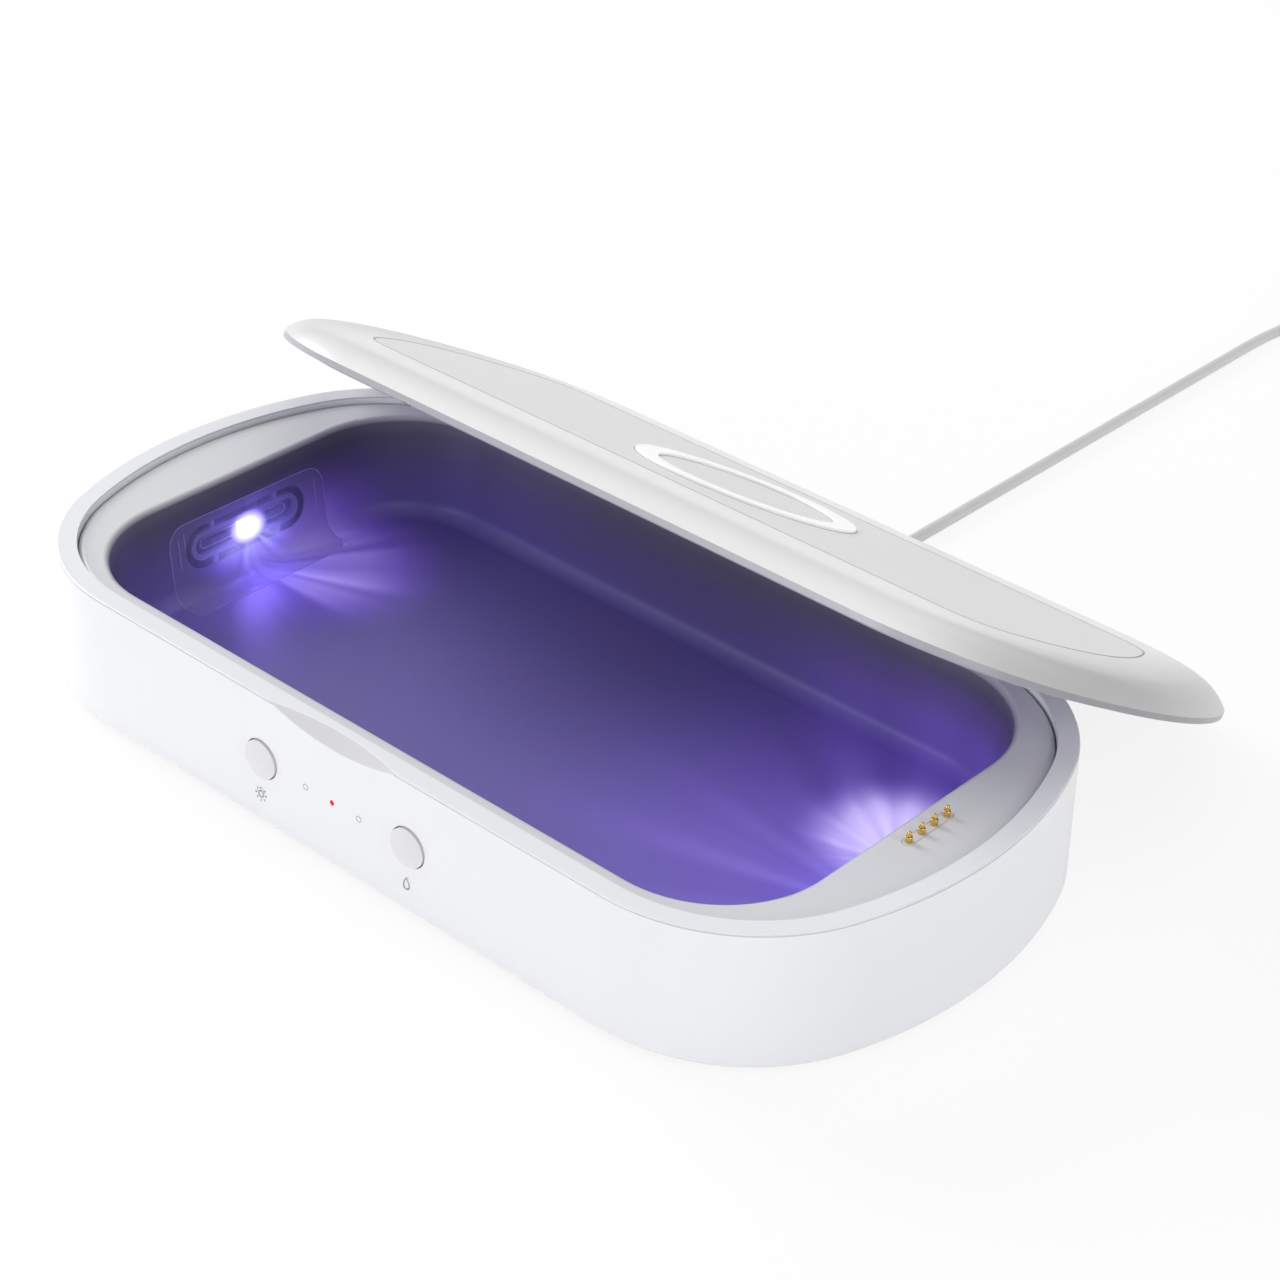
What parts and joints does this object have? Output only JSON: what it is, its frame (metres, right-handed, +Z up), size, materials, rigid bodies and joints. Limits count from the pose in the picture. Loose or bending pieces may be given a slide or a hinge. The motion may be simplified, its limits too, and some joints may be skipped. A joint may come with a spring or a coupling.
{
  "type": "phone sanitizer box",
  "caption": "Oval phone cleaning box with ultraviolet lamps behind end windows, front buttons, sprung contacts, a lift-off charging lid leaning on its rear rim and a power cable.",
  "frame": {"origin": "middle of the anti-slip mat's lower face, on the surface the box stands on", "axes": "+X along the box to the end with the sprung contacts, -Y the front with the buttons, +Y the cable's side, +Z up"},
  "size_m": [0.2376, 0.3946, 0.0644],
  "materials": {
    "housing_plastic": "satin gloss moulded plastic, white",
    "tray_plastic": "satin moulded plastic, pale grey white",
    "cover_plastic": "fine sparked moulded plastic, white",
    "mat_rubber": "matte silicone rubber, grey",
    "window_plastic": "clear moulded sheet",
    "gasket_rubber": "soft rubber, dark grey",
    "lamp_board": "white solder mask on glass fibre board",
    "bezel_plastic": "moulded plastic, pale grey",
    "uv_lamp": "ceramic lamp with a clear dome, lit violet",
    "circuit_board": "green solder mask on glass fibre board",
    "black_plastic": "moulded black plastic",
    "screw_steel": "zinc plated steel",
    "contact_gold": "gold plated brass",
    "magnet_nickel": "nickel plated magnet",
    "connector_steel": "drawn steel shell",
    "insert_plastic": "moulded plastic, white",
    "button_plastic": "satin moulded plastic, warm white",
    "indicator_clear": "clear light pipe, unlit",
    "indicator_red": "clear light pipe, lit red",
    "scent_plastic": "moulded plastic",
    "scent_felt": "pressed felt",
    "lid_plastic": "satin gloss moulded plastic, white",
    "lid_plate_plastic": "satin moulded plastic, light grey white",
    "grip_silicone": "moulded silicone rubber, white",
    "coil_copper": "wound copper wire",
    "ferrite": "sintered ferrite sheet",
    "cord_jacket": "extruded soft jacket, light grey white",
    "plug_overmould": "overmoulded plastic, light grey white",
    "tie_plastic": "coated twist tie, black"
  },
  "bodies": {
    "base": {"base_housing": "housing_plastic", "inner_tray": "tray_plastic", "tray_floor": "tray_plastic", "bottom_cover": "cover_plastic", "anti_slip_mat": "mat_rubber", "cover_screws": "screw_steel", "button_board": "circuit_board", "contact_block": "insert_plastic", "base_magnets": "magnet_nickel", "power_socket": "connector_steel", "power_board": "circuit_board", "main_board": "circuit_board", "scent_holder": "scent_plastic", "scent_pad": "scent_felt", "uv_window_left": "window_plastic", "uv_window_right": "window_plastic", "lamp_gasket_left": "gasket_rubber", "lamp_gasket_right": "gasket_rubber", "lamp_board_left": "lamp_board", "lamp_board_right": "lamp_board", "lamp_bezel_left": "bezel_plastic", "lamp_bezel_right": "bezel_plastic", "uv_lamp_left": "uv_lamp", "uv_lamp_right": "uv_lamp", "uv_switch": "black_plastic", "scent_switch": "black_plastic", "light_pipe_left": "indicator_clear", "light_pipe_power": "indicator_red", "light_pipe_right": "indicator_clear", "plug_shell": "connector_steel", "plug_body": "plug_overmould", "cord_lead": "cord_jacket", "cord_coil": "cord_jacket", "cord_tie": "tie_plastic", "cord_tail": "cord_jacket", "far_plug_body": "plug_overmould", "far_plug_shell": "connector_steel", "contact_barrel_1": "contact_gold", "contact_barrel_2": "contact_gold", "contact_barrel_3": "contact_gold", "contact_barrel_4": "contact_gold"},
    "uv_button": {"uv_button": "button_plastic"},
    "scent_button": {"scent_button": "button_plastic"},
    "contact_pin_1": {"contact_plunger_1": "contact_gold"},
    "contact_pin_2": {"contact_plunger_2": "contact_gold"},
    "contact_pin_3": {"contact_plunger_3": "contact_gold"},
    "contact_pin_4": {"contact_plunger_4": "contact_gold"},
    "lid": {"lid_shell": "lid_plastic", "lid_top_plate": "lid_plate_plastic", "grip_ring": "grip_silicone", "lid_underside": "lid_plastic", "charging_coil": "coil_copper", "ferrite_sheet": "ferrite", "lid_board": "circuit_board", "lid_magnets": "magnet_nickel", "contact_stud_1": "contact_gold", "contact_stud_2": "contact_gold", "contact_stud_3": "contact_gold", "contact_stud_4": "contact_gold"}
  },
  "joints": [
    {"name": "uv_button_press", "type": "slide", "parent": "base", "child": "uv_button", "axis": [0, 1, 0], "range_m": [0, 0.0005], "stiffness_N_per_m": 1000},
    {"name": "scent_button_press", "type": "slide", "parent": "base", "child": "scent_button", "axis": [0, 1, 0], "range_m": [0, 0.0005], "stiffness_N_per_m": 1000},
    {"name": "contact_pin_1_press", "type": "slide", "parent": "base", "child": "contact_pin_1", "axis": [0, 0, -1], "range_m": [0, 0.00085], "stiffness_N_per_m": 700},
    {"name": "contact_pin_2_press", "type": "slide", "parent": "base", "child": "contact_pin_2", "axis": [0, 0, -1], "range_m": [0, 0.00085], "stiffness_N_per_m": 700},
    {"name": "contact_pin_3_press", "type": "slide", "parent": "base", "child": "contact_pin_3", "axis": [0, 0, -1], "range_m": [0, 0.00085], "stiffness_N_per_m": 700},
    {"name": "contact_pin_4_press", "type": "slide", "parent": "base", "child": "contact_pin_4", "axis": [0, 0, -1], "range_m": [0, 0.00085], "stiffness_N_per_m": 700},
    {"name": "lid_lift", "type": "slide", "parent": "base", "child": "lid", "axis": [0, 0.4756, 0.8796], "range_m": [0, 0.095]}
  ]
}
